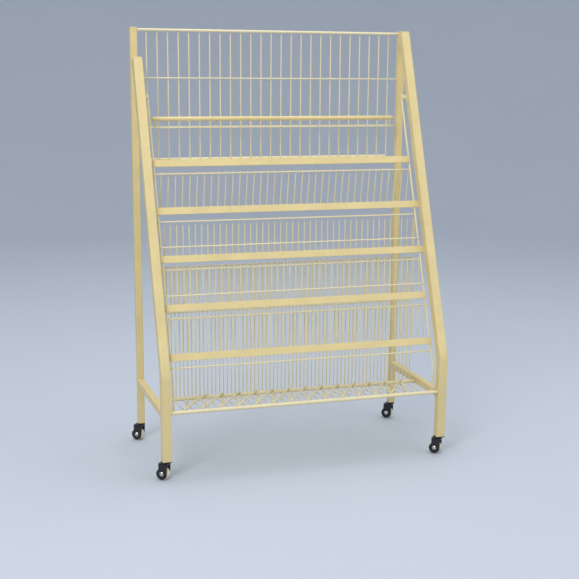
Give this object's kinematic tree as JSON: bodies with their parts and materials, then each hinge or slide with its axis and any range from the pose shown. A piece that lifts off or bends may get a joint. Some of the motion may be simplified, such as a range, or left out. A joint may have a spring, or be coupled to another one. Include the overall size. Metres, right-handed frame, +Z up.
{
  "type": "periodical display rack",
  "caption": "Free-standing magazine display rack: sloping square-tube frame on castors with tiered wire pockets, flat retaining bars, wire backrests and a wire base shelf.",
  "frame": {"origin": "on the floor, under the middle of the box round the whole rack", "axes": "+Z up, +X to the right and +Y towards the back, seen by someone who faces the pockets"},
  "size_m": [0.9448, 0.454, 1.3405],
  "materials": {
    "frame_paint": "satin cream powder coat",
    "wire_paint": "satin pale cream powder coat",
    "cap_plastic": "moulded cream plastic",
    "castor_black": "semi-gloss black paint",
    "socket_plastic": "moulded black plastic",
    "wheel_nylon": "off-white nylon",
    "bright_steel": "bright zinc plate",
    "zinc_steel": "dull zinc plate"
  },
  "bodies": {
    "rack": {"bar_fixing_screws": "zinc_steel", "bar_rivet_nuts": "zinc_steel", "base_front_rail": "wire_paint", "base_rear_rail": "wire_paint", "base_shelf_diagonals": "wire_paint", "base_shelf_struts": "wire_paint", "base_shelf_wires": "wire_paint", "front_left_castor_socket": "socket_plastic", "front_right_castor_socket": "socket_plastic", "guard_wires": "wire_paint", "ledge_stays": "wire_paint", "left_front_tube": "frame_paint", "left_rear_upright": "frame_paint", "left_side_rail": "frame_paint", "left_side_rod": "wire_paint", "left_tube_spacer": "frame_paint", "lower_back_panel": "wire_paint", "rear_left_castor_socket": "socket_plastic", "rear_right_castor_socket": "socket_plastic", "right_front_tube": "frame_paint", "right_rear_upright": "frame_paint", "right_side_rail": "frame_paint", "right_side_rod": "wire_paint", "tie_rods": "wire_paint", "tier_1_bar": "frame_paint", "tier_1_ledge": "wire_paint", "tier_2_bar": "frame_paint", "tier_2_ledge": "wire_paint", "tier_3_backrest": "wire_paint", "tier_3_bar": "frame_paint", "tier_3_ledge": "wire_paint", "tier_4_backrest": "wire_paint", "tier_4_bar": "frame_paint", "tier_4_ledge": "wire_paint", "tier_5_backrest": "wire_paint", "tier_5_bar": "frame_paint", "tier_5_ledge": "wire_paint", "tier_6_backrest": "wire_paint", "tier_6_bar": "frame_paint", "tier_6_ledge": "wire_paint", "top_back_panel": "wire_paint", "top_rail": "wire_paint", "tube_end_caps": "cap_plastic"},
    "front_left_castor_swivel": {"front_left_castor_fork": "castor_black", "front_left_castor_stem": "zinc_steel", "front_left_castor_axle": "bright_steel"},
    "front_left_castor_wheel_body": {"front_left_castor_wheel": "wheel_nylon"},
    "front_right_castor_swivel": {"front_right_castor_fork": "castor_black", "front_right_castor_stem": "zinc_steel", "front_right_castor_axle": "bright_steel"},
    "front_right_castor_wheel_body": {"front_right_castor_wheel": "wheel_nylon"},
    "rear_left_castor_swivel": {"rear_left_castor_fork": "castor_black", "rear_left_castor_stem": "zinc_steel", "rear_left_castor_axle": "bright_steel"},
    "rear_left_castor_wheel_body": {"rear_left_castor_wheel": "wheel_nylon"},
    "rear_right_castor_swivel": {"rear_right_castor_fork": "castor_black", "rear_right_castor_stem": "zinc_steel", "rear_right_castor_axle": "bright_steel"},
    "rear_right_castor_wheel_body": {"rear_right_castor_wheel": "wheel_nylon"}
  },
  "joints": [
    {"name": "front_left_castor_turn", "type": "hinge", "parent": "rack", "child": "front_left_castor_swivel", "pos_m": [-0.44162, -0.21273, 0.0505], "axis": [0, 0, 1], "continuous": true},
    {"name": "front_left_castor_roll", "type": "hinge", "parent": "front_left_castor_swivel", "child": "front_left_castor_wheel_body", "pos_m": [-0.45081, -0.20502, 0.02], "axis": [-0.6428, -0.766, 0], "continuous": true},
    {"name": "front_right_castor_turn", "type": "hinge", "parent": "rack", "child": "front_right_castor_swivel", "pos_m": [0.45838, -0.21273, 0.0505], "axis": [0, 0, 1], "continuous": true},
    {"name": "front_right_castor_roll", "type": "hinge", "parent": "front_right_castor_swivel", "child": "front_right_castor_wheel_body", "pos_m": [0.44919, -0.20502, 0.02], "axis": [-0.6428, -0.766, 0], "continuous": true},
    {"name": "rear_left_castor_turn", "type": "hinge", "parent": "rack", "child": "rear_left_castor_swivel", "pos_m": [-0.44162, 0.19827, 0.0505], "axis": [0, 0, 1], "continuous": true},
    {"name": "rear_left_castor_roll", "type": "hinge", "parent": "rear_left_castor_swivel", "child": "rear_left_castor_wheel_body", "pos_m": [-0.45081, 0.20598, 0.02], "axis": [-0.6428, -0.766, 0], "continuous": true},
    {"name": "rear_right_castor_turn", "type": "hinge", "parent": "rack", "child": "rear_right_castor_swivel", "pos_m": [0.45838, 0.19827, 0.0505], "axis": [0, 0, 1], "continuous": true},
    {"name": "rear_right_castor_roll", "type": "hinge", "parent": "rear_right_castor_swivel", "child": "rear_right_castor_wheel_body", "pos_m": [0.44919, 0.20598, 0.02], "axis": [-0.6428, -0.766, 0], "continuous": true}
  ]
}
